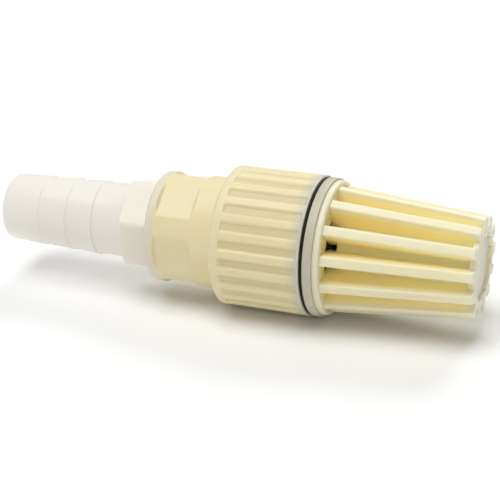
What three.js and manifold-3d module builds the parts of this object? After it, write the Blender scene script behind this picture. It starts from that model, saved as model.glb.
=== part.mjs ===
// Plastic foot valve with a strainer, for a 25 mm suction hose.
// Millimetres. The valve is designed upright, as it hangs in the water: its axis is local +Z, the hose is
// at the top, and height 0 is the middle of the O-ring joint between the body and the seat ring.
// The finished group lies on its side: the hose end points to -X, the strainer to +X and +Z is up.
import * as THREE from 'three';
import { mergeVertices } from 'three/addons/utils/BufferGeometryUtils.js';
import Module from 'manifold-3d';

const wasm = await Module();
wasm.setup();

// ---------------------------------------------------------------- driving dimensions
const FIT = 0.3;                  // clearance between pieces that touch
const EMBED = 0.4;                // how far joined solids reach into each other
const EDGE = 0.4;                 // chamfer on a thin edge
const BROAD_EDGE = 1;             // chamfer on a thick edge
const CUT_MARGIN = 2;             // how far a cutting solid runs past the face it cuts

// Hose nipple
const HOSE_BORE_R = 10;
const HOSE_TIP_H = 124.5;
const HOSE_TIP_R = 12.5;
const HOSE_TIP_ROUND = 1.8;
const BARBS = [                   // crest height, crest radius, radius just below the crest
  [109.3, 13.35, 12.95],
  [97.5, 13.75, 13.35],
  [86.5, 14.15, 13.6],
];
const BARB_ROOT_R = 14.1;
const HEX_TOP_H = 73.4;
const HEX_CORNER_R = 18;
const HEX_PHASE = 10.6;           // degrees from straight up to a corner, turning towards -Y
const SPIGOT_R = 15.7;

// Body: socket end
const BODY_TOP_H = 62;
const END_RING_H = 58.5;
const END_RING_R = 20.6;
const SOCKET_R = SPIGOT_R + FIT;
const SOCKET_FLOOR_H = 45;
const NECK_R = 20.7;
const FLAT_APOTHEM = 19.5;
const FLAT_LOW_H = 43.2;
const FLAT_COUNT = 6;
const FLAT_PHASE = 36.7;
const FLAT_RUNOUT = 1.6;

// Body: ribbed barrel
const BARREL_TOP_H = 34.7;
const BARREL_LOW_H = 0.6;
const BARREL_R = 25.65;
const SHOULDER_ROUND = 3.3;
const SHOULDER_STEPS = 4;
const RIB_COUNT = 24;
const RIB_R = 25.75;
const RIB_LOW_H = 1.1;
const RIB_TOP_H = 31.2;
const GROOVE_R = 25;
const RIB_HALF_ANGLE = Math.PI / RIB_COUNT / 2;   // half of a rib, and of a groove
const GROOVE_FLOOR_SHARE = 0.92;   // width of a groove's floor against its mouth
const THREAD_BORE_R = 22;
const THREAD_TOP_H = 13.5;
const CHAMBER_R = 20.5;
const CHAMBER_TOP_H = 31.5;
const OUTLET_R = 13;

// Seat ring and strainer
const JOINT_HALF = 0.6;           // half of the visible O-ring gap
const SEAT_FLANGE_R = 25.3;
const SEAT_FLANGE_LOW_H = -3.9;
const SEAT_BORE_R = 12.6;
const SEAT_LIP_R = 13.8;
const SEAT_LIP_H = -1.5;
const SEAT_WEB_TOP_H = -2.1;
const SEAT_WEB_LOW_H = -3.3;
const SEAT_SPIGOT_IN_R = 18.8;
const SEAT_SPIGOT_TOP_H = 12;
const SEAT_SLOPE_WIDTH = 1.5;
const CAGE_RING_R = 24.5;
const CAGE_RING_LOW_H = -6.3;
const CAGE_BORE_R = 16.2;
const CAGE_SPIGOT_IN_R = 17.3;
const CAGE_SPIGOT_OUT_R = 20.7;
const CAGE_SPIGOT_RISE = 1;
const CORE_TOP_H = -9.4;          // the windows are between the ring and the top of the core
const CORE_TOP_R = 13.6;
const CORE_END_R = 12.2;
const CORE_WALL = 1.6;
const FIN_COUNT = 13;
const FIN_PHASE = -4.4;
const FIN_WIDTH = 3.75;
const FIN_ROUND = 0.7;
const FIN_TOP_OUT_R = 23.1;
const FIN_END_OUT_R = 18.35;
const FIN_END_H = -59.6;
const END_DISC_R = 14.6;
const END_DISC_FACE_H = FIN_END_H;
const END_DISC_THICK = 2.4;
const END_DISH_R = 12.4;
const END_DISH_DEPTH = 1.25;
const END_WALL_EXTRA = 0.6;       // the closed end is this much thicker than the disc's edge

// Valve works inside
const LIFT = 8;                   // how far the valve opens
const POPPET_R = 13.6;
const POPPET_LOW_H = 1.6;
const POPPET_TOP_H = 4.6;
const POPPET_BOSS_R = 3.8;
const POPPET_BOSS_TOP_H = 6.8;
const STEM_R = 3;
const STEM_TOP_H = 36;
const CLIP_GROOVE_R = 2.3;
const CLIP_GROOVE_LOW_H = 31.6;
const CLIP_GROOVE_TOP_H = 33;
const CLIP_MOUTH_IN = 1.4;        // half widths of the clip's open side
const CLIP_MOUTH_OUT = 1.9;
const SEAL_R = 14.3;
const SEAL_LOW_H = -1.2;
const RETAINER_R = 6.5;
const RETAINER_THICK = 0.8;
const RETAINER_SHANK_R = 1.6;
const RETAINER_SHANK_TOP_H = 9;
const SPIDER_HUB_R = 6;
const SPIDER_HUB_LOW_H = 23.5;
const SPIDER_RING_IN_R = 17.8;
const SPIDER_THICK = 3;
const SPIDER_ARM_WIDTH = 2.6;
const SPIDER_ARM_COUNT = 3;
const SPRING_MEAN_R = 4.6;
const SPRING_WIRE_R = 0.45;
const SPRING_TURNS = 7;
const SPRING_CLOSED_TURNS = 1;    // touching turns at each end
const SPRING_CLOSED_PITCH = 2.2 * SPRING_WIRE_R;

// Seals in the joints
const O_RING_IN_R = 22.3;
const O_RING_OUT_R = 25;
const PACKING_IN_R = 12.2;
const PACKING_THICK = 2;

// Facets
const MERGE_DISTANCE = 1e-4;
const FACETS = 48;                // twice the ribs, so that each rib has a facet corner on its centre line
const SMALL = 24;
const POPPET_FACETS = 32;
const ROUND_STEPS = 3;
const BEVEL_STEPS = 2;
const SPRING_STEPS_PER_TURN = 16;
const SPRING_WIRE_SEGMENTS = 4;

// A rib's facet corner stands out a little, so that the lowest ribs touch the ground where round ribs would.
const RIB_PEAK_R = (RIB_R * Math.cos(RIB_HALF_ANGLE)) / Math.cos(2 * RIB_HALF_ANGLE);

// ---------------------------------------------------------------- materials
const plastic = (color, roughness) => new THREE.MeshStandardMaterial({ color, roughness, metalness: 0 });
const creamPlastic = () => plastic('#f1ebc9', 0.45);
const clearPlastic = () => plastic('#e6e1da', 0.35);
const whitePlastic = () => plastic('#e8e4d8', 0.4);
const blackRubber = () => plastic('#1d1b1a', 0.7);
const steel = () => new THREE.MeshStandardMaterial({ color: '#b9bcc0', roughness: 0.3, metalness: 1 });

// ---------------------------------------------------------------- geometry helpers
const degrees = THREE.MathUtils.degToRad;

// Points of a quarter round from one corner to another; the centre is where the round is drawn from.
function round(centreR, centreH, radius, fromDeg, toDeg, steps = ROUND_STEPS) {
  return Array.from({ length: steps + 1 }, (_, i) => {
    const a = degrees(fromDeg + ((toDeg - fromDeg) * i) / steps);
    return [centreR + radius * Math.cos(a), centreH + radius * Math.sin(a)];
  });
}

// A solid of revolution about Z from a closed outline of [radius, height] points.
function turned(outline, facets = FACETS) {
  const points = [...outline, outline[0]].map(([r, h]) => new THREE.Vector2(r, h));
  return new THREE.LatheGeometry(points, facets).rotateX(Math.PI / 2);
}

// A straight prism along Z from a flat outline.
function prism(outline, lowH, topH) {
  const shape = new THREE.Shape(outline.map(([x, y]) => new THREE.Vector2(x, y)));
  const geometry = new THREE.ExtrudeGeometry(shape, { depth: topH - lowH, bevelEnabled: false });
  return geometry.translate(0, 0, lowH);
}

// Turns a geometry about the valve's axis. Angle 0 points straight up when the valve lies on its side.
const atClock = (geometry, clockDeg) => geometry.rotateZ(-degrees(clockDeg));

// A bar along X that is drawn in the radius-height plane and spread evenly to both sides of it.
function radialBar(outline, width, bevel) {
  const shape = new THREE.Shape(outline.map(([r, h]) => new THREE.Vector2(r, h)));
  const geometry = new THREE.ExtrudeGeometry(shape, {
    depth: width - 2 * bevel,
    bevelEnabled: bevel > 0,
    bevelSize: bevel,
    bevelThickness: bevel,
    bevelOffset: -bevel,
    bevelSegments: BEVEL_STEPS,
  });
  return geometry.rotateX(Math.PI / 2).translate(0, width / 2 - bevel, 0);
}

function solid(geometry) {
  const bare = geometry.clone();
  bare.deleteAttribute('normal');
  bare.deleteAttribute('uv');
  const merged = mergeVertices(bare, MERGE_DISTANCE);
  return new wasm.Manifold(new wasm.Mesh({
    numProp: 3,
    vertProperties: new Float32Array(merged.attributes.position.array),
    triVerts: new Uint32Array(merged.index.array),
  }));
}

function toGeometry(manifold) {
  const { vertProperties, triVerts } = manifold.getMesh();
  const geometry = new THREE.BufferGeometry();
  geometry.setAttribute('position', new THREE.BufferAttribute(vertProperties, 3));
  geometry.setIndex(new THREE.BufferAttribute(triVerts, 1));
  return geometry;
}

const joined = (...geometries) => geometries.map(solid).reduce((a, b) => a.add(b));
const cut = (manifold, geometries) => geometries.map(solid).reduce((a, b) => a.subtract(b), manifold);

const around = (count, phase, make) =>
  Array.from({ length: count }, (_, i) => atClock(make(), phase + (360 / count) * i));

// ---------------------------------------------------------------- hose nipple
function hoseNipple() {
  const barbLine = BARBS.flatMap(([h, crestR, rootR]) => [[crestR, h], [rootR, h - FIT]]).reverse();
  const spigotLow = SOCKET_FLOOR_H + PACKING_THICK + 2 * FIT;
  const tipCentre = [HOSE_TIP_R - HOSE_TIP_ROUND, HOSE_TIP_H - HOSE_TIP_ROUND];
  const tube = turned([
    [HOSE_BORE_R, spigotLow],
    [SPIGOT_R - BROAD_EDGE, spigotLow],
    [SPIGOT_R, spigotLow + BROAD_EDGE],
    [SPIGOT_R, BODY_TOP_H + FIT + EMBED],
    [BARB_ROOT_R, BODY_TOP_H + FIT + EMBED],
    [BARB_ROOT_R, HEX_TOP_H],
    ...barbLine,
    ...round(...tipCentre, HOSE_TIP_ROUND, 0, 90),
    [HOSE_BORE_R, HOSE_TIP_H],
  ]);
  const corners = Array.from({ length: 6 }, (_, i) => {
    const a = degrees(60 * i);
    return [HEX_CORNER_R * Math.cos(a), HEX_CORNER_R * Math.sin(a)];
  });
  const hex = atClock(prism(corners, BODY_TOP_H + FIT, HEX_TOP_H), HEX_PHASE);
  const hexBore = turned([
    [0, 0], [HOSE_BORE_R + EMBED, 0], [HOSE_BORE_R + EMBED, HOSE_TIP_H], [0, HOSE_TIP_H],
  ]);
  return toGeometry(cut(solid(hex), [hexBore]).add(solid(tube)));
}

function nipplePacking() {
  const low = SOCKET_FLOOR_H + FIT;
  return turned([
    [PACKING_IN_R, low], [SPIGOT_R - FIT, low],
    [SPIGOT_R - FIT, low + PACKING_THICK], [PACKING_IN_R, low + PACKING_THICK],
  ]);
}

// ---------------------------------------------------------------- body
function ribGroove() {
  const mouth = RIB_HALF_ANGLE;
  const floor = mouth * GROOVE_FLOOR_SHARE;
  const outer = RIB_PEAK_R + CUT_MARGIN;
  const corner = (r, angle) => [r * Math.cos(angle), r * Math.sin(angle)];
  const outline = [
    corner(GROOVE_R, -floor),
    corner(outer, -mouth),
    corner(outer, mouth),
    corner(GROOVE_R, floor),
  ];
  return prism(outline, RIB_LOW_H, RIB_TOP_H);
}

function wrenchFlat() {
  const outer = NECK_R + CUT_MARGIN;
  const outline = [
    [FLAT_APOTHEM, END_RING_H],
    [FLAT_APOTHEM, FLAT_LOW_H + FLAT_RUNOUT],
    [outer, FLAT_LOW_H - CUT_MARGIN],
    [outer, END_RING_H],
  ];
  return radialBar(outline.reverse(), 2 * NECK_R, 0);
}

function valveBody() {
  const shoulderCentre = [BARREL_R - SHOULDER_ROUND, BARREL_TOP_H - SHOULDER_ROUND];
  const endRingCentre = [END_RING_R - BROAD_EDGE, BODY_TOP_H - BROAD_EDGE];
  const shell = turned([
    [THREAD_BORE_R, BARREL_LOW_H],
    [BARREL_R - EMBED, BARREL_LOW_H],
    [BARREL_R, BARREL_LOW_H + EMBED],
    [BARREL_R, RIB_LOW_H],
    [RIB_PEAK_R, RIB_LOW_H],
    [RIB_PEAK_R, RIB_TOP_H],
    ...round(...shoulderCentre, SHOULDER_ROUND, 0, 90, SHOULDER_STEPS),
    [NECK_R, BARREL_TOP_H],
    [NECK_R, END_RING_H],
    [END_RING_R, END_RING_H],
    ...round(...endRingCentre, BROAD_EDGE, 0, 90, BEVEL_STEPS),
    [SOCKET_R + BROAD_EDGE, BODY_TOP_H],
    [SOCKET_R, BODY_TOP_H - BROAD_EDGE],
    [SOCKET_R, SOCKET_FLOOR_H],
    [OUTLET_R, SOCKET_FLOOR_H],
    [OUTLET_R, CHAMBER_TOP_H],
    [CHAMBER_R, CHAMBER_TOP_H],
    [CHAMBER_R, THREAD_TOP_H],
    [THREAD_BORE_R, THREAD_TOP_H],
  ]);
  const cuts = [
    ...around(RIB_COUNT, 0, ribGroove),
    ...around(FLAT_COUNT, FLAT_PHASE, wrenchFlat),
  ];
  return toGeometry(cut(solid(shell), cuts));
}

// ---------------------------------------------------------------- seat ring and strainer
function seatRing() {
  const recessIn = CAGE_SPIGOT_IN_R - FIT;
  const recessOut = CAGE_SPIGOT_OUT_R + FIT;
  const recessTop = SEAT_FLANGE_LOW_H + CAGE_SPIGOT_RISE;
  const spigotR = THREAD_BORE_R - FIT;
  return turned([
    [SEAT_BORE_R, SEAT_WEB_LOW_H],
    [recessIn, SEAT_WEB_LOW_H],
    [recessIn, recessTop],
    [recessOut, recessTop],
    [recessOut, SEAT_FLANGE_LOW_H],
    [SEAT_FLANGE_R, SEAT_FLANGE_LOW_H],
    [SEAT_FLANGE_R, -JOINT_HALF - EMBED],
    [SEAT_FLANGE_R - EMBED, -JOINT_HALF],
    [spigotR, -JOINT_HALF],
    [spigotR, SEAT_SPIGOT_TOP_H - BROAD_EDGE],
    [spigotR - BROAD_EDGE, SEAT_SPIGOT_TOP_H],
    [SEAT_SPIGOT_IN_R, SEAT_SPIGOT_TOP_H],
    [SEAT_SPIGOT_IN_R, -JOINT_HALF],
    [SEAT_SPIGOT_IN_R - SEAT_SLOPE_WIDTH, SEAT_WEB_TOP_H],
    [SEAT_LIP_R, SEAT_WEB_TOP_H],
    [SEAT_LIP_R - FIT, SEAT_LIP_H],
    [SEAT_BORE_R, SEAT_LIP_H],
  ]);
}

function strainerFin() {
  const top = CAGE_RING_LOW_H + EMBED;
  return radialBar([
    [CORE_TOP_R - CORE_WALL, top],
    [CORE_TOP_R - CORE_WALL, CORE_TOP_H],
    [CORE_END_R - CORE_WALL / 2, END_DISC_FACE_H + END_DISC_THICK / 2],
    [END_DISC_R - FIN_ROUND, FIN_END_H],
    [FIN_END_OUT_R, FIN_END_H],
    [FIN_TOP_OUT_R, top],
  ], FIN_WIDTH, FIN_ROUND);
}

function strainerCage() {
  const ringTop = SEAT_FLANGE_LOW_H - FIT;
  const spigotTop = ringTop + CAGE_SPIGOT_RISE;
  const discTop = END_DISC_FACE_H + END_DISC_THICK;
  const ring = turned([
    [CAGE_BORE_R, CAGE_RING_LOW_H],
    [CAGE_RING_R - BROAD_EDGE, CAGE_RING_LOW_H],
    [CAGE_RING_R, CAGE_RING_LOW_H + BROAD_EDGE],
    [CAGE_RING_R, ringTop],
    [CAGE_SPIGOT_OUT_R, ringTop],
    [CAGE_SPIGOT_OUT_R, spigotTop],
    [CAGE_SPIGOT_IN_R, spigotTop],
    [CAGE_SPIGOT_IN_R, ringTop],
    [CAGE_BORE_R, ringTop],
  ]);
  const core = turned([
    [0, END_DISC_FACE_H + END_DISH_DEPTH],
    [END_DISH_R, END_DISC_FACE_H + END_DISH_DEPTH],
    [END_DISH_R, END_DISC_FACE_H],
    [END_DISC_R - EDGE, END_DISC_FACE_H],
    [END_DISC_R, END_DISC_FACE_H + EDGE],
    [END_DISC_R, discTop],
    [CORE_END_R, discTop],
    [CORE_TOP_R, CORE_TOP_H],
    [CORE_TOP_R - CORE_WALL, CORE_TOP_H],
    [CORE_END_R - CORE_WALL, discTop + END_WALL_EXTRA],
    [0, discTop + END_WALL_EXTRA],
  ]);
  return toGeometry(joined(ring, core, ...around(FIN_COUNT, FIN_PHASE, strainerFin)));
}

// ---------------------------------------------------------------- valve works
function valvePoppet() {
  return turned([
    [0, RETAINER_SHANK_TOP_H + FIT],
    [RETAINER_SHANK_R + FIT, RETAINER_SHANK_TOP_H + FIT],
    [RETAINER_SHANK_R + FIT, POPPET_LOW_H],
    [POPPET_R, POPPET_LOW_H],
    [POPPET_R, POPPET_TOP_H - BROAD_EDGE],
    [POPPET_R - BROAD_EDGE, POPPET_TOP_H],
    [POPPET_BOSS_R, POPPET_TOP_H],
    [POPPET_BOSS_R, POPPET_BOSS_TOP_H - EDGE],
    [POPPET_BOSS_R - EDGE, POPPET_BOSS_TOP_H],
    [STEM_R, POPPET_BOSS_TOP_H],
    [STEM_R, CLIP_GROOVE_LOW_H],
    [CLIP_GROOVE_R, CLIP_GROOVE_LOW_H],
    [CLIP_GROOVE_R, CLIP_GROOVE_TOP_H],
    [STEM_R, CLIP_GROOVE_TOP_H],
    [STEM_R, STEM_TOP_H - BROAD_EDGE],
    [STEM_R - BROAD_EDGE, STEM_TOP_H],
    [0, STEM_TOP_H],
  ], POPPET_FACETS);
}

function rubberSeal() {
  return turned([
    [RETAINER_SHANK_R + FIT, SEAL_LOW_H],
    [SEAL_R - EDGE, SEAL_LOW_H],
    [SEAL_R, SEAL_LOW_H + EDGE],
    [SEAL_R, POPPET_LOW_H - FIT],
    [RETAINER_SHANK_R + FIT, POPPET_LOW_H - FIT],
  ]);
}

function sealRetainer() {
  const top = SEAL_LOW_H - FIT;
  const low = top - RETAINER_THICK;
  return turned([
    [0, low],
    [RETAINER_R - EDGE, low],
    [RETAINER_R, low + EDGE],
    [RETAINER_R, top],
    [RETAINER_SHANK_R, top],
    [RETAINER_SHANK_R, RETAINER_SHANK_TOP_H],
    [0, RETAINER_SHANK_TOP_H],
  ], SMALL);
}

function stemClip() {
  const low = CLIP_GROOVE_LOW_H + FIT;
  const top = CLIP_GROOVE_TOP_H - FIT;
  const inner = CLIP_GROOVE_R + FIT;
  const outer = SPIDER_HUB_R - 2 * FIT;
  const ring = turned([[inner, low], [outer, low], [outer, top], [inner, top]], SMALL);
  const mouth = prism([
    [0, -CLIP_MOUTH_IN], [SPIDER_HUB_R, -CLIP_MOUTH_OUT], [SPIDER_HUB_R, CLIP_MOUTH_OUT], [0, CLIP_MOUTH_IN],
  ], low - CUT_MARGIN, top + CUT_MARGIN);
  return toGeometry(cut(solid(ring), [mouth]));
}

function guideSpider() {
  const top = CHAMBER_TOP_H - FIT;
  const low = top - SPIDER_THICK;
  const hub = turned([
    [STEM_R + FIT, SPIDER_HUB_LOW_H],
    [SPIDER_HUB_R, SPIDER_HUB_LOW_H],
    [SPIDER_HUB_R, top],
    [STEM_R + FIT, top],
  ], SMALL);
  const ring = turned([
    [SPIDER_RING_IN_R, low], [CHAMBER_R - FIT, low], [CHAMBER_R - FIT, top], [SPIDER_RING_IN_R, top],
  ]);
  const half = SPIDER_ARM_WIDTH / 2;
  const arm = () => prism([
    [SPIDER_HUB_R - EMBED, -half], [SPIDER_RING_IN_R + EMBED, -half],
    [SPIDER_RING_IN_R + EMBED, half], [SPIDER_HUB_R - EMBED, half],
  ], low, top);
  return toGeometry(joined(hub, ring, ...around(SPIDER_ARM_COUNT, 0, arm)));
}

// Compression spring with one touching turn at each end.
class SpringLine extends THREE.Curve {
  constructor(lowH, topH) {
    super();
    this.lowH = lowH;
    this.topH = topH;
  }

  getPoint(t, target = new THREE.Vector3()) {
    const turn = t * SPRING_TURNS;
    const closedRise = SPRING_CLOSED_TURNS * SPRING_CLOSED_PITCH;
    const openRise = this.topH - this.lowH - 2 * closedRise;
    const openTurns = SPRING_TURNS - 2 * SPRING_CLOSED_TURNS;
    const low = THREE.MathUtils.clamp(turn, 0, SPRING_CLOSED_TURNS) / SPRING_CLOSED_TURNS;
    const open = THREE.MathUtils.clamp(turn - SPRING_CLOSED_TURNS, 0, openTurns) / openTurns;
    const high = THREE.MathUtils.clamp(turn - SPRING_TURNS + SPRING_CLOSED_TURNS, 0, 1);
    const h = this.lowH + low * closedRise + open * openRise + high * closedRise;
    const a = turn * 2 * Math.PI;
    return target.set(SPRING_MEAN_R * Math.cos(a), SPRING_MEAN_R * Math.sin(a), h);
  }
}

function returnSpring() {
  const line = new SpringLine(POPPET_TOP_H + FIT + SPRING_WIRE_R, SPIDER_HUB_LOW_H - FIT - SPRING_WIRE_R);
  const section = new THREE.Shape();
  section.absarc(0, 0, SPRING_WIRE_R, 0, 2 * Math.PI);
  return new THREE.ExtrudeGeometry(section, {
    extrudePath: line,
    steps: SPRING_TURNS * SPRING_STEPS_PER_TURN,
    curveSegments: SPRING_WIRE_SEGMENTS,
    bevelEnabled: false,
  });
}

function flangeORing() {
  const half = JOINT_HALF - FIT;
  return turned([
    [O_RING_IN_R, -half], [O_RING_OUT_R, -half], [O_RING_OUT_R, half], [O_RING_IN_R, half],
  ]);
}

// ---------------------------------------------------------------- assembly
const PIECES = [
  ['hose_nipple', hoseNipple, clearPlastic],
  ['nipple_packing', nipplePacking, blackRubber],
  ['valve_body', valveBody, creamPlastic],
  ['guide_spider', guideSpider, whitePlastic],
  ['stem_clip', stemClip, steel],
  ['return_spring', returnSpring, steel],
  ['valve_poppet', valvePoppet, whitePlastic],
  ['rubber_seal', rubberSeal, blackRubber],
  ['seal_retainer', sealRetainer, blackRubber],
  ['flange_o_ring', flangeORing, blackRubber],
  ['seat_ring', seatRing, creamPlastic],
  ['strainer_cage', strainerCage, creamPlastic],
];

const upright = new THREE.Group();
for (const [name, makeGeometry, makeMaterial] of PIECES) {
  const mesh = new THREE.Mesh(makeGeometry(), makeMaterial());
  mesh.name = name;
  upright.add(mesh);
}

// Lying on its side, the valve rests on two neighbouring ribs, with the middle of its length at the origin.
upright.rotation.y = -Math.PI / 2;
upright.position.set((HOSE_TIP_H + FIN_END_H) / 2, 0, RIB_R * Math.cos(RIB_HALF_ANGLE));

const footValve = new THREE.Group();
footValve.add(upright);

export default footValve;
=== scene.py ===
import math

import bmesh
import bpy
import numpy as np
from mathutils import Matrix, Vector


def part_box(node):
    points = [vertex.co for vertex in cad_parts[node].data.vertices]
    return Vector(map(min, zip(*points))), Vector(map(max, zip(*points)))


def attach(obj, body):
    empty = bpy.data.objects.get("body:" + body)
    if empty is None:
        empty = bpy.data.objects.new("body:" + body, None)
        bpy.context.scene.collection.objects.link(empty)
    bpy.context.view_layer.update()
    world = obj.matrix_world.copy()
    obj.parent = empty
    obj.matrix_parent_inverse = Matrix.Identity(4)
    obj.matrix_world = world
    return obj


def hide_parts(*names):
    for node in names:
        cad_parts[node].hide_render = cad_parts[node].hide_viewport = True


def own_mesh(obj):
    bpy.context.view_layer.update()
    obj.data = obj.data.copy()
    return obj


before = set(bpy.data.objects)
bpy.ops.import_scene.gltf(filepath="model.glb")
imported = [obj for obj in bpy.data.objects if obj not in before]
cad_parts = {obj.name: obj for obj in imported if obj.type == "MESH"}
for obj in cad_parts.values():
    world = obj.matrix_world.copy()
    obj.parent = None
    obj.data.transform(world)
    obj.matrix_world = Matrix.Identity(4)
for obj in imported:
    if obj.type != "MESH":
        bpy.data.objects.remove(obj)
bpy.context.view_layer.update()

# Sizes are in millimetres, and names that end in PHASE or DEG in degrees. Height h runs along the valve's
# axis, from the middle of the O-ring joint towards the hose, and r is the distance from the axis. An angle
# round the axis is 0 straight up and grows towards the camera.
MM = 0.001
o_ring_low, o_ring_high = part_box("flange_o_ring")
JOINT_X = (o_ring_low.x + o_ring_high.x) / 2
AXIS_Z = (o_ring_low.z + o_ring_high.z) / 2

FIT = 0.3                           # play between pieces
TOUCH = 0.05                        # gap between pieces that touch
SOFT_EDGE = 0.35                    # rounding of rubber washers
ARC_STEP = math.radians(18)         # longest step of a rounded corner
QUARTER_ROUND = [ARC_STEP * k for k in range(6)]
SPAN_REACH = 0.8                    # how near to a radius a stretch of outline has to be to get more points
SAME_RADIUS = 0.01
SAME_HEIGHT = 0.001
ON_AXIS_R = 1e-6
MERGE_M = 1e-7                      # points nearer than this become one, in metres
SHARP_EDGE_DEG = 40

# Points round the axis: more for wide and threaded pieces, and a multiple of 6 for the hexagon
NIPPLE_STEPS = 288
FLANGE_STEPS = 240
CAGE_STEPS = 168
GUIDE_RING_STEPS = 144
WASHER_STEPS = 128
WORKS_STEPS = 96

# Hose nipple
HOSE_BORE_R = 10
HOSE_TIP_H = 124.5
HOSE_TIP_R = 12.5
BARBS = [(86.5, 14.15, 13.6), (97.5, 13.75, 13.35), (109.3, 13.35, 12.95)]  # height, crest, radius below
BARB_STEP_H = 0.35
BARB_ROOT_R = 14.1
HEX_TOP_H = 73.4
HEX_LOW_H = 62.3
HEX_CORNER_R = 18
HEX_PHASE = 10.6
HEX_CHAMFER_DEPTH = 0.7
HEX_CHAMFER_SLOPE = 0.8
HEX_CORNER_ROUND = 0.25
SPIGOT_R = 15.7
SPIGOT_LOW_H = 47.6
SPIGOT_LEAD = 0.9                   # chamfer at the start of the thread
SPIGOT_NECK_IN = 0.6                # relief between the thread and the hexagon

# Body
BODY_TOP_H = 62
END_RING_H = 58.5
END_RING_R = 20.6
SOCKET_FLOOR_H = 45
NECK_R = 20.7
FLAT_APOTHEM = 19.5
FLAT_PHASE = 36.7
FLAT_RAMP_H = 44.8                  # below this the flats run out into the neck
FLAT_RAMP_SLOPE = 0.9
FLAT_FILLET = 1
FLAT_EDGE_ROUND = 0.16
BARREL_TOP_H = 34.7
BARREL_LOW_H = 0.6
BARREL_R = 25.65
RIB_R = 25.75
RIB_COUNT = 24
RIB_LOW_H = 1.1
RIB_TOP_H = 31.2
GROOVE_DEPTH = 0.75
GROOVE_HALF_WIDTH = 1.75
GROOVE_WALL = 1.2                   # width over which a groove's side rises
GROOVE_LOW_RUNOUT = 1
GROOVE_TOP_RUNOUT = 1.2
CHAMBER_R = 20.5
CHAMBER_TOP_H = 31.5
CHAMBER_LOW_H = 13.5
OUTLET_R = 13

# Threads: mean radius of the outer thread, depth and pitch
PIPE_THREAD = (15.7, 1.3, 2.309)
BODY_THREAD = (21.7, 1.1, 3)
THREAD_RUNOUT = 0.8
SOCKET_R = PIPE_THREAD[0] + FIT
BORE_R = BODY_THREAD[0] + FIT
SOCKET_THREAD_LOW_H = SOCKET_FLOOR_H + 0.8
SOCKET_THREAD_TOP_H = BODY_TOP_H - 0.9
BORE_THREAD_LOW_H = BARREL_LOW_H + 0.6

# Seat ring and strainer
JOINT_HALF = 0.6
SEAT_FLANGE_R = 25.3
SEAT_FLANGE_LOW_H = -3.9
SEAT_BORE_R = 12.6
SEAT_LIP_R = 13.8
SEAT_LIP_H = -1.5
SEAT_WEB_TOP_H = -2.1
SEAT_WEB_LOW_H = -3.3
SEAT_SPIGOT_IN_R = 18.8
SEAT_SPIGOT_TOP_H = 12
SEAT_SPIGOT_R = BODY_THREAD[0]
SEAT_SPIGOT_LEAD = 0.8
SEAT_SPIGOT_RELIEF = 0.4            # under the O-ring
SEAM_GAP = 0.005                    # between the flange and the strainer's ring
CAGE_RING_R = 24.5
CAGE_RING_LOW_H = -6.3
CAGE_BORE_R = 16.2
CAGE_SPIGOT_IN_R = 17.3
CAGE_SPIGOT_OUT_R = 20.7
CAGE_SPIGOT_RISE = 1
CORE_TOP_H = -9.4
CORE_TOP_R = 13.6
CORE_END_R = 12.2
CORE_WALL = 1.6
FIN_COUNT = 13
FIN_PHASE = -4.4
FIN_WIDTH = 3.75
FIN_ROUND = 0.7
FIN_FLARE = 0.45
FIN_ROOT_IN = 0.6                   # how far a fin reaches into the core
FIN_TOP_IN = 0.4                    # and into the ring
FIN_TOP_OUT_R = 23.1
FIN_END_OUT_R = 18.35
FIN_END_H = -59.6
FIN_SLOPE = (FIN_TOP_OUT_R - FIN_END_OUT_R) / (CAGE_RING_LOW_H - FIN_END_H)
END_DISC_R = 14.6
END_DISC_FACE_H = -59.55
END_DISC_THICK = 2.4
END_DISC_TOP_H = END_DISC_FACE_H + END_DISC_THICK
CORE_FLOOR_H = END_DISC_TOP_H + 0.6
END_DISH_R = 12.4
END_DISH_DEPTH = 1.25

# Valve works
POPPET_R = 13.6
POPPET_LOW_H = 1.6
POPPET_TOP_H = 4.6
POPPET_BOSS_R = 3.8
POPPET_BOSS_TOP_H = 6.8
STEM_R = 3
STEM_TOP_H = 36
STEM_BORE_R = STEM_R + 0.15
CLIP_GROOVE_R = 2.3
CLIP_GROOVE_LOW_H = 31.6
CLIP_GROOVE_TOP_H = 33
CLIP_MOUTH_HALF = math.radians(24)
CLIP_STEPS = 49
CLIP_LOW_H = CLIP_GROOVE_LOW_H + 0.3
CLIP_TOP_H = CLIP_GROOVE_TOP_H - 0.3
CLIP_IN_R = CLIP_GROOVE_R + 0.1
CLIP_ROUND = 0.12
SEAL_R = 14.3
SEAL_LOW_H = -1.2
RETAINER_R = 6.5
RETAINER_THICK = 0.8
RETAINER_SHANK_R = 1.6
RETAINER_SHANK_TOP_H = 9
RETAINER_WELL_R = RETAINER_SHANK_R + 0.1
HUB_R = 6
HUB_LOW_H = 23.5
CLIP_OUT_R = HUB_R - 0.6
SPIDER_RING_IN_R = 17.8
SPIDER_RING_OUT_R = CHAMBER_R - 0.1
SPIDER_THICK = 3
SPIDER_TOP_H = CHAMBER_TOP_H - FIT
ARM_WIDTH = 2.6
ARM_ROOT_IN = 1                     # how far an arm reaches into the hub and the ring
SPRING_MEAN_R = 4.6
SPRING_WIRE_R = 0.45
SPRING_TURNS = 7
SPRING_STEPS = 40
SPRING_WIRE_SIDES = 14
SPRING_END_PITCH = 2.2              # of a closed turn, in wire radii
SPRING_LOW_H = 4.9
SPRING_TOP_H = 23.2
O_RING_IN_R = 22.3
O_RING_OUT_R = 25.1
O_RING_HALF = JOINT_HALF - 0.04
O_RING_ROUND = 0.95 * O_RING_HALF
PACKING_IN_R = 12.2

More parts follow.
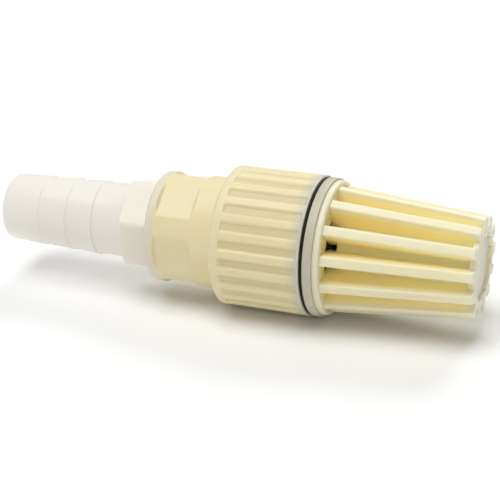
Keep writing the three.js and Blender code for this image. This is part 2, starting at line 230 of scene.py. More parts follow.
# Colours (linear RGB)
CREAM = (0.79, 0.70, 0.43, 1)
# painted shade: the deeper cream of the shaded grooves
GROOVE_SHADE_CREAM = (0.71, 0.61, 0.34, 1)
PALE = (0.73, 0.68, 0.54, 1)
# painted shade: greyer cream at the barrel's lower edge, where the dark O-ring shows through the plastic
O_RING_SHADE_GREY = (0.58, 0.565, 0.465, 1)
CAGE_CREAM = (0.83, 0.78, 0.55, 1)
# painted shade: the yellow of the slots between the fins, towards their free end and at the ring
SLOT_END_SHADE_CREAM = (1.0, 0.88, 0.47, 1)
SLOT_RING_SHADE_CREAM = (0.93, 0.79, 0.36, 1)
PALE_END = (0.83, 0.79, 0.66, 1)
# partly the seat ring's own greyer cream, partly painted shade beside the O-ring
SEAT_CREAM_AND_SHADE = (0.53, 0.50, 0.38, 1)
CLEAR = (0.84, 0.805, 0.745, 1)
CLEAR_CLOUD = (0.80, 0.76, 0.70, 1)
HEX_CREAM = (0.80, 0.76, 0.66, 1)
WHITE = (0.83, 0.82, 0.76, 1)
WHITE_CLOUD = (0.75, 0.73, 0.65, 1)
RUBBER = (0.010, 0.008, 0.007, 1)
RUBBER_DUST = (0.022, 0.019, 0.017, 1)
STEEL_DARK = (0.50, 0.50, 0.49, 1)
STEEL_BRIGHT = (0.68, 0.68, 0.67, 1)
PAPER = (0.93, 0.93, 0.93, 1)
PAPER_BRIGHT = (0.95, 0.95, 0.95, 1)

# How much of its second colour a place takes on
CLOUD_SHARE = 0.12
SHOULDER_SHARE = 0.1
# share of painted shade at the barrel's edge beside the O-ring
O_RING_SHADE_SHARE = 0.9
TIP_SHARE = 0.7

# How far red, green and blue light spread under the surface, next to one another
CREAM_SPREAD = (1.0, 0.85, 0.45)
CLEAR_SPREAD = (0.85, 0.92, 1.0)


# ---------------------------------------------------------------- outlines
def rounded(corners):
    """Points of a closed outline whose corners (r, h, rounding) are arcs where the rounding isn't 0."""
    points = []
    for i, (r, h, rounding) in enumerate(corners):
        here = Vector((r, h))
        before = Vector(corners[i - 1][:2]) - here
        after = Vector(corners[(i + 1) % len(corners)][:2]) - here
        half = before.angle(after) / 2
        if rounding == 0 or half > math.radians(89):
            points.append((r, h))
            continue
        reach = min(rounding / math.tan(half), 0.48 * before.length, 0.48 * after.length)
        radius = reach * math.tan(half)
        centre = here + (before.normalized() + after.normalized()).normalized() * radius / math.sin(half)
        start = here + before.normalized() * reach - centre
        end = here + after.normalized() * reach - centre
        steps = max(2, math.ceil((math.pi - 2 * half) / ARC_STEP))
        sweep = start.angle_signed(end)
        for k in range(steps + 1):
            turn = -sweep * k / steps
            points.append((
                centre.x + start.x * math.cos(turn) - start.y * math.sin(turn),
                centre.y + start.x * math.sin(turn) + start.y * math.cos(turn),
            ))
    return points


def filled(points, spans):
    """The same outline with more points on its straight stretches.

    spans are (r, low h, high h, step): they count only for stretches near that radius.
    """
    out = []
    for i, (r, h) in enumerate(points):
        r2, h2 = points[(i + 1) % len(points)]
        out.append((r, h))
        cuts = {h2}
        for near, low, high, step in spans:
            if abs(r - near) < SPAN_REACH and abs(r2 - near) < SPAN_REACH:
                cuts |= {low + step * k for k in range(int((high - low) / step) + 1)}
        inner = [c for c in cuts if min(h, h2) + SAME_HEIGHT < c < max(h, h2) - SAME_HEIGHT]
        for c in sorted(inner, reverse=h2 < h):
            t = (c - h) / (h2 - h)
            out.append((r + (r2 - r) * t, c))
    return out


def even_angles(count):
    """Evenly spaced angles round the axis."""
    return np.arange(count) * 2 * math.pi / count


def rib_angles():
    """Angles round the axis that crowd together at the edges of the grooves."""
    half = math.pi / RIB_COUNT
    edge = GROOVE_HALF_WIDTH / RIB_R
    near = np.concatenate([
        [0],
        np.linspace(edge * 0.62, edge * 1.38, 7),
        [edge * 1.6],
    ])
    one_rib = np.concatenate([near, [half], 2 * half - near[:0:-1]])
    return np.concatenate([one_rib + 2 * half * k for k in range(RIB_COUNT)])


def smooth(value):
    """0 up to 0, 1 from 1 on, and a smooth step between them."""
    t = np.clip(value, 0, 1)
    return t * t * (3 - 2 * t)


def lower(a, b, blend):
    """The smaller of two radii, with a round edge where they cross."""
    overlap = np.clip(blend - np.abs(a - b), 0, None) / blend
    return np.minimum(a, b) - overlap * overlap * blend / 4


def away(angle, period, phase=0):
    """The angle to the nearest of the evenly spaced directions."""
    return (angle - phase + period / 2) % period - period / 2


def thread(h, angle, pitch):
    """From -0.5 in the root to 0.5 on the crest of a right-hand thread."""
    ramp = np.abs(2 * ((h / pitch + angle / (2 * math.pi)) % 1) - 1)
    return smooth((ramp - 0.25) * 2) - 0.5


def threaded(r, h, angle, kind, clearance, low, high):
    """The radius with a thread where the outline has the thread's radius between two heights."""
    mean, depth, pitch = kind
    on_thread = (np.abs(r - mean - clearance) < 2 * SAME_RADIUS) & (h > low) & (h < high)
    fade = smooth((h - low) / THREAD_RUNOUT) * smooth((high - h) / THREAD_RUNOUT)
    return np.where(on_thread, r + depth * fade * thread(h, angle, pitch), r)


# ---------------------------------------------------------------- meshes
def place(r, h, angle):
    """Millimetres round the valve's axis to metres in the shared frame."""
    return np.stack([
        JOINT_X - h * MM + 0 * angle,
        -r * np.sin(angle) * MM,
        AXIS_Z + r * np.cos(angle) * MM,
    ], axis=-1)


def make_object(name, vertices, faces):
    """A new object in the scene from points in metres."""
    mesh = bpy.data.meshes.new(name)
    mesh.from_pydata([tuple(v) for v in vertices], [], faces)
    mesh.validate()
    piece = bpy.data.objects.new(name, mesh)
    bpy.context.scene.collection.objects.link(piece)
    finish_mesh(piece)
    return piece


def finish_mesh(piece):
    """Merges double points, turns the faces outwards and smooths all but the sharp edges."""
    work = bmesh.new()
    work.from_mesh(piece.data)
    bmesh.ops.remove_doubles(work, verts=work.verts, dist=MERGE_M)
    bmesh.ops.recalc_face_normals(work, faces=work.faces)
    work.to_mesh(piece.data)
    work.free()
    piece.data.shade_smooth()
    piece.data.set_sharp_from_angle(angle=math.radians(SHARP_EDGE_DEG))


def revolved(name, points, angles, shape=None):
    """A closed solid of revolution. shape(r, h, angle) may change the radius from place to place."""
    outline = np.array(points)
    r = outline[:, :1]
    h = outline[:, 1:]
    angle = angles[None, :]
    radius = shape(r, h, angle) if shape else r + 0 * angle
    radius = np.where(r < ON_AXIS_R, 0, radius)
    grid = place(radius, h, angle)
    count, turns = len(outline), len(angles)
    vertices = list(grid.reshape(-1, 3))
    faces = []
    on_axis = r[:, 0] < ON_AXIS_R
    for i in range(count):
        j = (i + 1) % count
        if on_axis[i] and on_axis[j]:
            continue
        for k in range(turns):
            m = (k + 1) % turns
            quad = [i * turns + k, j * turns + k, j * turns + m, i * turns + m]
            if on_axis[i]:
                quad = quad[:3]
                quad[0] = i * turns
            elif on_axis[j]:
                quad = [quad[0], j * turns, quad[3]]
            faces.append(quad)
    return make_object(name, vertices, faces)


def lofted(name, sections):
    """A closed skin over sections with the same number of (r, h, angle) points each."""
    rings = np.array(sections)
    grid = place(rings[..., 0], rings[..., 1], rings[..., 2])
    count, size = grid.shape[:2]
    faces = [list(range(size))[::-1], [(count - 1) * size + k for k in range(size)]]
    for i in range(count - 1):
        for k in range(size):
            m = (k + 1) % size
            faces.append([i * size + k, i * size + m, (i + 1) * size + m, (i + 1) * size + k])
    return make_object(name, grid.reshape(-1, 3), faces)


def washer(name, inner, outer, low, top):
    """A flat rubber washer with soft edges."""
    return revolved(name, rounded([
        (inner, low, SOFT_EDGE), (outer, low, SOFT_EDGE),
        (outer, top, SOFT_EDGE), (inner, top, SOFT_EDGE),
    ]), even_angles(WASHER_STEPS))


def unite(base, others):
    """Joins closed pieces into one closed piece."""
    for other in others:
        cut = base.modifiers.new("join", "BOOLEAN")
        cut.operation = "UNION"
        cut.solver = "EXACT"
        cut.object = other
    apply_modifiers(base)
    for other in others:
        bpy.data.objects.remove(other)
    finish_mesh(base)
    return base


def apply_modifiers(piece):
    """Bakes the modifiers into the mesh."""
    bpy.context.view_layer.update()
    graph = bpy.context.evaluated_depsgraph_get()
    baked = bpy.data.meshes.new_from_object(piece.evaluated_get(graph))
    piece.modifiers.clear()
    piece.data = baked


# ---------------------------------------------------------------- hose nipple
def nipple_shape(r, h, angle):
    """A chamfered hexagon and the thread of the spigot."""
    apothem = HEX_CORNER_R * math.cos(math.pi / 6)
    side = away(angle, math.pi / 3, math.radians(HEX_PHASE + 30))
    end = np.minimum(h - HEX_LOW_H, HEX_TOP_H - h)
    chamfer = np.clip(HEX_CHAMFER_DEPTH - end, 0, None) * HEX_CHAMFER_SLOPE
    corner = HEX_CORNER_R - HEX_CORNER_ROUND - chamfer
    hexagon = lower(apothem / np.cos(side), corner, 2 * HEX_CORNER_ROUND)
    radius = np.where(np.abs(r - HEX_CORNER_R) < SAME_RADIUS, hexagon, r)
    return threaded(radius, h, angle, PIPE_THREAD, 0, SPIGOT_LOW_H + SPIGOT_LEAD, BODY_TOP_H - SPIGOT_NECK_IN)


def hose_nipple():
    """Barbed tail, hexagon and threaded spigot, with the bore through them."""
    barbs = []
    for height, crest, below in BARBS:
        barbs += [(below, height - BARB_STEP_H, 0.15), (crest, height, 0.12)]
    corners = [
        (HOSE_BORE_R, SPIGOT_LOW_H, 0.3),
        (SPIGOT_R - SPIGOT_LEAD, SPIGOT_LOW_H, 0.3),
        (SPIGOT_R, SPIGOT_LOW_H + SPIGOT_LEAD, 0),
        (SPIGOT_R, BODY_TOP_H - SPIGOT_NECK_IN, 0),
        (SPIGOT_R - SPIGOT_NECK_IN, BODY_TOP_H, 0.2),
        (SPIGOT_R - SPIGOT_NECK_IN, HEX_LOW_H, 0.2),
        (HEX_CORNER_R, HEX_LOW_H, 0),
        (HEX_CORNER_R, HEX_TOP_H, 0),
        (BARB_ROOT_R, HEX_TOP_H, 0.8),
        *barbs,
        (HOSE_TIP_R, HOSE_TIP_H, 1.9),
        (HOSE_BORE_R, HOSE_TIP_H, 0.8),
    ]
    points = filled(rounded(corners), [
        (SPIGOT_R, SPIGOT_LOW_H + SPIGOT_LEAD, BODY_TOP_H - SPIGOT_NECK_IN, 0.28),
        (HEX_CORNER_R, HEX_LOW_H, HEX_LOW_H + 1, 0.2),
        (HEX_CORNER_R, HEX_TOP_H - 1, HEX_TOP_H, 0.2),
    ])
    return revolved("nipple_moulding", points, even_angles(NIPPLE_STEPS), nipple_shape)


def nipple_packing():
    low = SOCKET_FLOOR_H + TOUCH
    top = SPIGOT_LOW_H - TOUCH
    return washer("packing_washer", PACKING_IN_R, SPIGOT_R - 0.1, low, top)


# ---------------------------------------------------------------- body
def body_shape(r, h, angle):
    """Grooves between the ribs, wrench flats on the neck, and the threads of the socket and the barrel."""
    outside = r > BARREL_R - 0.1
    from_groove = np.abs(away(angle, 2 * math.pi / RIB_COUNT)) * RIB_R
    across = 1 - smooth((from_groove - GROOVE_HALF_WIDTH + GROOVE_WALL / 2) / GROOVE_WALL)
    along = smooth((h - RIB_LOW_H) / GROOVE_LOW_RUNOUT) * smooth((RIB_TOP_H - h) / GROOVE_TOP_RUNOUT)
    radius = np.where(outside, r - GROOVE_DEPTH * across * along, r + 0 * angle)

    on_neck = (np.abs(r - NECK_R) < SAME_RADIUS) & (h < END_RING_H)
    apothem = FLAT_APOTHEM + FLAT_RAMP_SLOPE * np.clip(FLAT_RAMP_H - h, 0, None)
    apothem = apothem + FLAT_FILLET * np.clip((h - END_RING_H) / FLAT_FILLET + 1, 0, 1) ** 2
    side = away(angle, math.pi / 3, math.radians(FLAT_PHASE))
    radius = np.where(on_neck, lower(NECK_R, apothem / np.cos(side), FLAT_EDGE_ROUND), radius)

    radius = threaded(radius, h, angle, PIPE_THREAD, FIT, SOCKET_THREAD_LOW_H, SOCKET_THREAD_TOP_H)
    return threaded(radius, h, angle, BODY_THREAD, FIT, BORE_THREAD_LOW_H, CHAMBER_LOW_H)


def valve_body():
    """End ring, neck, barrel, socket, outlet and chamber in one moulding."""
    corners = [
        (BORE_R + 0.5, BARREL_LOW_H, 0.2),
        (BARREL_R, BARREL_LOW_H, 0.3),
        (RIB_R, RIB_LOW_H, 0.3),
        (RIB_R, RIB_TOP_H, 0),
        (RIB_R, BARREL_TOP_H, 3.4),
        (NECK_R, BARREL_TOP_H, 0.5),
        (NECK_R, END_RING_H, 0),
        (END_RING_R, END_RING_H + 0.1, 0),
        (END_RING_R, BODY_TOP_H, 1.1),
        (SOCKET_R + 0.8, BODY_TOP_H, 0.3),
        (SOCKET_R, SOCKET_THREAD_TOP_H, 0),
        (SOCKET_R, SOCKET_FLOOR_H, 0.3),
        (OUTLET_R, SOCKET_FLOOR_H, 0.4),
        (OUTLET_R, CHAMBER_TOP_H, 0.4),
        (CHAMBER_R, CHAMBER_TOP_H, 0.6),
        (CHAMBER_R, CHAMBER_LOW_H, 0.3),
        (BORE_R, CHAMBER_LOW_H, 0.3),
        (BORE_R, BORE_THREAD_LOW_H, 0),
    ]
    points = filled(rounded(corners), [
        (BORE_R, BORE_THREAD_LOW_H, CHAMBER_LOW_H, 0.35),
        (RIB_R, RIB_LOW_H, RIB_LOW_H + GROOVE_LOW_RUNOUT + 0.1, 0.15),
        (RIB_R, RIB_TOP_H - GROOVE_TOP_RUNOUT, RIB_TOP_H, 0.15),
        (NECK_R, FLAT_RAMP_H - 1.8, FLAT_RAMP_H + 0.3, 0.15),
        (NECK_R, END_RING_H - FLAT_FILLET, END_RING_H, 0.125),
        (SOCKET_R, SOCKET_THREAD_LOW_H, SOCKET_THREAD_TOP_H, 0.35),
    ])
    return revolved("body_moulding", points, rib_angles(), body_shape)


# ---------------------------------------------------------------- seat ring and strainer
def seat_shape(r, h, angle):
    """The thread of the seat ring's spigot."""
    top = SEAT_SPIGOT_TOP_H - SEAT_SPIGOT_LEAD
    return threaded(r + 0 * angle, h, angle, BODY_THREAD, 0, JOINT_HALF, top)


def seat_ring():
    """Flange, threaded spigot and seat lip, with a groove below for the cage's spigot."""
    recess_in = CAGE_SPIGOT_IN_R - FIT
    recess_out = CAGE_SPIGOT_OUT_R + FIT
    recess_top = SEAT_FLANGE_LOW_H + CAGE_SPIGOT_RISE
    thread_low = JOINT_HALF + 0.3
    thread_top = SEAT_SPIGOT_TOP_H - SEAT_SPIGOT_LEAD
    corners = [
        (SEAT_BORE_R, SEAT_WEB_LOW_H, 0.3),
        (recess_in, SEAT_WEB_LOW_H, 0.2),
        (recess_in, recess_top, 0.1),
        (recess_out, recess_top, 0.1),
        (recess_out, SEAT_FLANGE_LOW_H, 0.15),
        (SEAT_FLANGE_R, SEAT_FLANGE_LOW_H, 0.4),
        (SEAT_FLANGE_R, -JOINT_HALF, 0.35),
        (SEAT_SPIGOT_R - SEAT_SPIGOT_RELIEF, -JOINT_HALF, 0.1),
        (SEAT_SPIGOT_R - SEAT_SPIGOT_RELIEF, JOINT_HALF, 0.1),
        (SEAT_SPIGOT_R, thread_low, 0),
        (SEAT_SPIGOT_R, thread_top, 0),
        (SEAT_SPIGOT_R - SEAT_SPIGOT_LEAD, SEAT_SPIGOT_TOP_H, 0.2),
        (SEAT_SPIGOT_IN_R, SEAT_SPIGOT_TOP_H, 0.4),
        (SEAT_SPIGOT_IN_R, SEAT_WEB_TOP_H, 1.5),
        (SEAT_LIP_R, SEAT_WEB_TOP_H, 0.2),
        (SEAT_LIP_R - FIT, SEAT_LIP_H, 0.2),
        (SEAT_BORE_R, SEAT_LIP_H, 0.4),
    ]
    points = filled(rounded(corners), [(SEAT_SPIGOT_R, thread_low, thread_top, 0.3)])
    return revolved("seat_moulding", points, even_angles(FLANGE_STEPS), seat_shape)


def core_radius(h):
    """Radius of the strainer's closed core, which tapers from the windows to the end disc."""
    t = np.clip((CORE_TOP_H - h) / (CORE_TOP_H - END_DISC_TOP_H), 0, 1)
    return CORE_TOP_R + (CORE_END_R - CORE_TOP_R) * t


def fin_radius(h):
    """Radius of the fins' outer edges."""
    return FIN_END_OUT_R + FIN_SLOPE * (h - FIN_END_H)


def fin_section(h, out_r, flare, phase):
    """Section of a fin: round outer corners, and a flare where it grows out of the core."""
    half = FIN_WIDTH / 2
    base = core_radius(h) if flare > 0 else CORE_TOP_R - CORE_WALL
    root = [(half + flare, base - FIN_ROOT_IN), (half + flare, base - 0.02)]
    for k in range(1, 5):
        a = math.radians(22.5 * k)
        root.append((half + flare * (1 - math.sin(a)), base + flare * (1 - math.cos(a))))
    corner = []
    for a in QUARTER_ROUND:
        corner.append((half - FIN_ROUND * (1 - math.cos(a)), out_r - FIN_ROUND * (1 - math.sin(a))))
    right = root + corner
    outline = right + [(-x, y) for x, y in right[::-1]]
    return [(math.hypot(x, y), h, phase + math.atan2(x, y)) for x, y in outline]


def fin(phase):
    """One fin from inside the ring to its rounded end, with its flare only below the windows."""
    top = CAGE_RING_LOW_H + FIN_TOP_IN
    sections = [
        fin_section(top, fin_radius(top), 0, phase),
        fin_section(CORE_TOP_H + 0.1, fin_radius(CORE_TOP_H), 0, phase),
        fin_section(CORE_TOP_H - 0.1, fin_radius(CORE_TOP_H), FIN_FLARE, phase),
    ]
    for h in np.linspace(CORE_TOP_H - 6, FIN_END_H + 3, 5):
        sections.append(fin_section(h, fin_radius(h), FIN_FLARE, phase))
    for a in QUARTER_ROUND:
        h = FIN_END_H + FIN_ROUND * (1 - math.sin(a))
        sections.append(fin_section(h, fin_radius(h) - FIN_ROUND * (1 - math.cos(a)), FIN_FLARE, phase))
    return lofted("fin", sections)


def strainer_cage():
    """Ring with its snap spigot, core with its dished end disc, and the fins between them."""
    ring_top = SEAT_FLANGE_LOW_H - SEAM_GAP
    spigot_top = ring_top + CAGE_SPIGOT_RISE
    ring = revolved("cage_moulding", rounded([
        (CAGE_BORE_R, CAGE_RING_LOW_H, 0.3),
        (CAGE_RING_R, CAGE_RING_LOW_H, 1.1),
        (CAGE_RING_R, ring_top, 0.1),
        (CAGE_SPIGOT_OUT_R, ring_top, 0),
        (CAGE_SPIGOT_OUT_R, spigot_top, 0.3),
        (CAGE_SPIGOT_IN_R, spigot_top, 0.3),
        (CAGE_SPIGOT_IN_R, ring_top, 0),
        (CAGE_BORE_R, ring_top, 0.3),
    ]), even_angles(CAGE_STEPS))
    core = revolved("core", rounded([
        (0, END_DISC_FACE_H + END_DISH_DEPTH, 0),
        (END_DISH_R, END_DISC_FACE_H + END_DISH_DEPTH, 0.3),
        (END_DISH_R, END_DISC_FACE_H, 0.3),
        (END_DISC_R, END_DISC_FACE_H, 0.5),
        (END_DISC_R, END_DISC_TOP_H, 0.3),
        (CORE_END_R, END_DISC_TOP_H, 0.3),
        (CORE_TOP_R, CORE_TOP_H, 0.4),
        (CORE_TOP_R - CORE_WALL, CORE_TOP_H, 0.4),
        (CORE_END_R - CORE_WALL, CORE_FLOOR_H, 0.8),
        (0, CORE_FLOOR_H, 0),
    ]), even_angles(CAGE_STEPS))
    fins = [fin(math.radians(FIN_PHASE + 360 / FIN_COUNT * k)) for k in range(FIN_COUNT)]
    return unite(ring, [core, *fins])


# ---------------------------------------------------------------- valve works
def valve_poppet():
    """Disc, boss and guide stem, with the clip's groove near the top."""
    return revolved("poppet_moulding", rounded([
        (0, RETAINER_SHANK_TOP_H + FIT, 0),
        (RETAINER_WELL_R, RETAINER_SHANK_TOP_H + FIT, 0.2),
        (RETAINER_WELL_R, POPPET_LOW_H, 0.2),
        (POPPET_R, POPPET_LOW_H, 0.3),
        (POPPET_R, POPPET_TOP_H, 0.9),
        (POPPET_BOSS_R, POPPET_TOP_H, 0.6),
        (POPPET_BOSS_R, POPPET_BOSS_TOP_H, 0.4),
        (STEM_R, POPPET_BOSS_TOP_H, 0.2),
        (STEM_R, CLIP_GROOVE_LOW_H, 0.1),
        (CLIP_GROOVE_R, CLIP_GROOVE_LOW_H, 0.1),
        (CLIP_GROOVE_R, CLIP_GROOVE_TOP_H, 0.1),
        (STEM_R, CLIP_GROOVE_TOP_H, 0.1),
        (STEM_R, STEM_TOP_H, 1),
        (0, STEM_TOP_H, 0),
    ]), even_angles(WORKS_STEPS))


def rubber_seal():
    return washer("seal_washer", RETAINER_WELL_R, SEAL_R, SEAL_LOW_H, POPPET_LOW_H - TOUCH)


def seal_retainer():
    """Button and shank that hold the seal on the disc."""
    top = SEAL_LOW_H - TOUCH
    low = SEAL_LOW_H - FIT - RETAINER_THICK
    return revolved("retainer_button", rounded([
        (0, low, 0),
        (RETAINER_R, low, 0.5),
        (RETAINER_R, top, 0.2),
        (RETAINER_SHANK_R, top, 0.2),
        (RETAINER_SHANK_R, RETAINER_SHANK_TOP_H, 0.4),
        (0, RETAINER_SHANK_TOP_H, 0),
    ]), even_angles(WORKS_STEPS))


def stem_clip():
    """A thin C of steel, open towards one side."""
    ring = rounded([
        (CLIP_IN_R, CLIP_LOW_H, CLIP_ROUND), (CLIP_OUT_R, CLIP_LOW_H, CLIP_ROUND),
        (CLIP_OUT_R, CLIP_TOP_H, CLIP_ROUND), (CLIP_IN_R, CLIP_TOP_H, CLIP_ROUND),
    ])
    sections = []
    for angle in np.linspace(CLIP_MOUTH_HALF, 2 * math.pi - CLIP_MOUTH_HALF, CLIP_STEPS):
        sections.append([(r, h, math.pi / 2 + angle) for r, h in ring])
    return lofted("clip_ring", sections)


def arm(phase):
    """A spoke of the guide with round edges."""
    half = ARM_WIDTH / 2
    low = SPIDER_TOP_H - SPIDER_THICK
    section = rounded([
        (-half, low, 0.4), (half, low, 0.4),
        (half, SPIDER_TOP_H, 0.4), (-half, SPIDER_TOP_H, 0.4),
    ])
    sections = []
    for reach in (HUB_R - ARM_ROOT_IN, SPIDER_RING_IN_R + ARM_ROOT_IN):
        sections.append([(math.hypot(x, reach), h, phase + math.atan2(x, reach)) for x, h in section])
    return lofted("arm", sections)


def guide_spider():
    """Hub that the stem slides in, on three arms in a ring."""
    low = SPIDER_TOP_H - SPIDER_THICK
    hub = revolved("guide_moulding", rounded([
        (STEM_BORE_R, HUB_LOW_H, 0.3), (HUB_R, HUB_LOW_H, 0.5),
        (HUB_R, SPIDER_TOP_H, 0.4), (STEM_BORE_R, SPIDER_TOP_H, 0.3),
    ]), even_angles(WORKS_STEPS))
    ring = revolved("ring", rounded([
        (SPIDER_RING_IN_R, low, 0.5), (SPIDER_RING_OUT_R, low, 0.4),
        (SPIDER_RING_OUT_R, SPIDER_TOP_H, 0.3), (SPIDER_RING_IN_R, SPIDER_TOP_H, 0.5),
    ]), even_angles(GUIDE_RING_STEPS))
    arms = [arm(math.radians(120 * k)) for k in range(3)]
    return unite(hub, [ring, *arms])


def return_spring():
    """Round wire wound in a helix, with one closed turn at each end."""
    low = SPRING_LOW_H + SPRING_WIRE_R
    top = SPRING_TOP_H - SPRING_WIRE_R
    closed = SPRING_WIRE_R * SPRING_END_PITCH
    sections = []
    for k in range(SPRING_TURNS * SPRING_STEPS + 1):
        turn = k / SPRING_STEPS
        open_share = np.clip((turn - 1) / (SPRING_TURNS - 2), 0, 1)
        ends = min(turn, 1) + max(0, turn - SPRING_TURNS + 1)
        h = low + closed * ends + (top - low - 2 * closed) * open_share
        taper = min(1, 0.35 + 4 * min(turn, SPRING_TURNS - turn))
        ring = []
        for j in range(SPRING_WIRE_SIDES):
            a = 2 * math.pi * j / SPRING_WIRE_SIDES
            ring.append((
                SPRING_MEAN_R + SPRING_WIRE_R * math.cos(a),
                h + SPRING_WIRE_R * taper * math.sin(a),
                2 * math.pi * turn,
            ))
        sections.append(ring)
    return lofted("spring_wire", sections)


def flange_o_ring():
    return revolved("joint_ring", rounded([
        (O_RING_IN_R, -O_RING_HALF, O_RING_ROUND), (O_RING_OUT_R, -O_RING_HALF, O_RING_ROUND),
        (O_RING_OUT_R, O_RING_HALF, O_RING_ROUND), (O_RING_IN_R, O_RING_HALF, O_RING_ROUND),
    ]), even_angles(FLANGE_STEPS))


# ---------------------------------------------------------------- materials
class Nodes:
    """A material and a short way to write its node tree."""

    def __init__(self, name):
        self.material = bpy.data.materials.new(name)
        self.material.use_nodes = True
        self.tree = self.material.node_tree
        self.shader = self.tree.nodes["Principled BSDF"]

    def add(self, kind, inputs=None, **settings):
        """A new shader node. inputs are values or sockets to feed it, and settings its own properties."""
        made = self.tree.nodes.new("ShaderNode" + kind)
        for key, value in settings.items():
            setattr(made, key, value)
        for key, value in (inputs or {}).items():
            self.feed(value, made.inputs[key])
        return made

    def feed(self, value, socket):
        """Links a socket to an input, or sets the input to a plain value."""
        if isinstance(value, bpy.types.NodeSocket):
            self.tree.links.new(value, socket)
        else:
            socket.default_value = value

    def math(self, operation, *values):
        made = self.add("Math", operation=operation)
        for i, value in enumerate(values):
            self.feed(value, made.inputs[i])
        return made.outputs[0]

    def between(self, value, low, high):
        """0 below low, 1 above high and smooth between them."""
        made = self.add("MapRange", {0: value, 1: low, 2: high}, interpolation_type="SMOOTHSTEP")
        return made.outputs[0]

    def mix(self, share, first, second):
        made = self.add("Mix", {0: share, 6: first, 7: second}, data_type="RGBA")
        return made.outputs[2]

    def noise(self, scale, detail=2.0):
        point = self.add("TexCoord").outputs["Object"]
        made = self.add("TexNoise", {"Vector": point, "Scale": scale, "Detail": detail})
        return made.outputs["Fac"]

    def height(self):
        """Height along the valve's axis, in millimetres."""
        x = self.add("SeparateXYZ", {0: self.add("TexCoord").outputs["Object"]}).outputs[0]
        return self.math("MULTIPLY", self.math("SUBTRACT", JOINT_X, x), 1 / MM)

    def distance(self):
        """Distance from the valve's axis, in millimetres."""
        point = self.add("SeparateXYZ", {0: self.add("TexCoord").outputs["Object"]})
        z = self.math("SUBTRACT", point.outputs[2], AXIS_Z)
        squares = self.math("ADD", self.math("POWER", point.outputs[1], 2), self.math("POWER", z, 2))
        return self.math("MULTIPLY", self.math("SQRT", squares), 1 / MM)

    def bump(self, coarse, fine, coarse_mm, fine_mm):
        """Slow waves and fine grain of a moulded surface."""
        first = self.add("Bump", {"Height": self.noise(coarse), "Distance": coarse_mm * MM, "Strength": 1.0})
        second = self.add("Bump", {
            "Height": self.noise(fine), "Distance": fine_mm * MM, "Strength": 1.0,
            "Normal": first.outputs[0],
        })
        self.feed(second.outputs[0], self.shader.inputs["Normal"])

    def set(self, **values):
        """Feeds inputs of the main shader, with _ for each space in their names."""
        for key, value in values.items():
            self.feed(value, self.shader.inputs[key.replace("_", " ")])


def plastic(name, colour, cloud, shades, translucency, reach, roughness, spread=CREAM_SPREAD):
    """Moulded plastic. shades(nodes, colour) deepens or pales the colour from place to place, and paints
    shade into grooves and slots.

    reach is how far light spreads under the surface, in millimetres.
    """
    nodes = Nodes(name)
    cloudy = nodes.between(nodes.noise(45, 3), 0.35, 0.65)
    tinted = nodes.mix(nodes.math("MULTIPLY", cloudy, CLOUD_SHARE), colour, cloud)
    nodes.set(Base_Color=shades(nodes, tinted) if shades else tinted)
    rough = nodes.add("MapRange", {0: nodes.noise(220), 3: roughness - 0.05, 4: roughness + 0.06})
    nodes.set(Roughness=rough.outputs[0])
    nodes.set(Subsurface_Weight=translucency, Subsurface_Radius=spread, Subsurface_Scale=reach * MM)
    nodes.set(IOR=1.49)
    nodes.bump(coarse=420, fine=3200, coarse_mm=0.02, fine_mm=0.006)
    return nodes.material


def body_shades(nodes, colour):
    """Painted shade: deeper cream in the grooves, and a greyer edge at the O-ring where the dark rubber shows
    through. Also a paler end ring and shoulder.
    """
    h = nodes.height()
    r = nodes.distance()
    along = nodes.math(
        "MULTIPLY", nodes.between(h, RIB_LOW_H, RIB_LOW_H + 3), nodes.between(h, RIB_TOP_H, RIB_TOP_H - 2),
    )
    # Painted shade: the floors and walls of the grooves take on a deeper cream.
    groove_shade = nodes.math("MULTIPLY", nodes.between(r, RIB_R - 0.45, RIB_R - GROOVE_DEPTH + 0.05), along)
    shaded = nodes.mix(groove_shade, colour, GROOVE_SHADE_CREAM)
    ring = nodes.between(h, END_RING_H - 0.2, END_RING_H + 0.3)
    # Painted shade: greyer towards the O-ring, where the dark rubber shows through.
    edge = nodes.between(h, RIB_LOW_H + 5.5, BARREL_LOW_H)
    shoulder = nodes.math(
        "MULTIPLY", nodes.between(h, RIB_TOP_H - 0.2, RIB_TOP_H + 0.4),
        nodes.between(h, BARREL_TOP_H + 0.4, BARREL_TOP_H - 0.2),
    )
    rims = nodes.math("MAXIMUM", ring, nodes.math("MULTIPLY", shoulder, SHOULDER_SHARE))
    pale = nodes.mix(rims, shaded, PALE)
    return nodes.mix(nodes.math("MULTIPLY", edge, O_RING_SHADE_SHARE), pale, O_RING_SHADE_GREY)


def cage_shades(nodes, colour):
    """Painted shade: deeper yellow down in the slots between the fins, most of all at the ring. Also paler at
    the free end of the fins.
    """
    h = nodes.height()
    rise = nodes.math("MULTIPLY", nodes.math("SUBTRACT", h, FIN_END_H), FIN_SLOPE)
    surface = nodes.math("ADD", rise, FIN_END_OUT_R)
    depth = nodes.math("SUBTRACT", surface, nodes.distance())
    # Painted shade: the slots between the disc and the ring grow yellower with depth below the fins' edges.
    behind_disc = nodes.between(h, END_DISC_FACE_H + 1.4, END_DISC_FACE_H + 3.4)
    below_ring = nodes.between(h, CAGE_RING_LOW_H + 0.9, CAGE_RING_LOW_H + 0.1)
    inside = nodes.math("MULTIPLY", behind_disc, below_ring)
    to_ring = nodes.between(h, FIN_END_H, CAGE_RING_LOW_H)
    slot = nodes.mix(to_ring, SLOT_END_SHADE_CREAM, SLOT_RING_SHADE_CREAM)
    shaded = nodes.mix(nodes.math("MULTIPLY", nodes.between(depth, 0.3, 3), inside), colour, slot)
    tip = nodes.between(h, FIN_END_H + 4, FIN_END_H + 0.5)
    return nodes.mix(nodes.math("MULTIPLY", tip, TIP_SHARE), shaded, PALE_END)


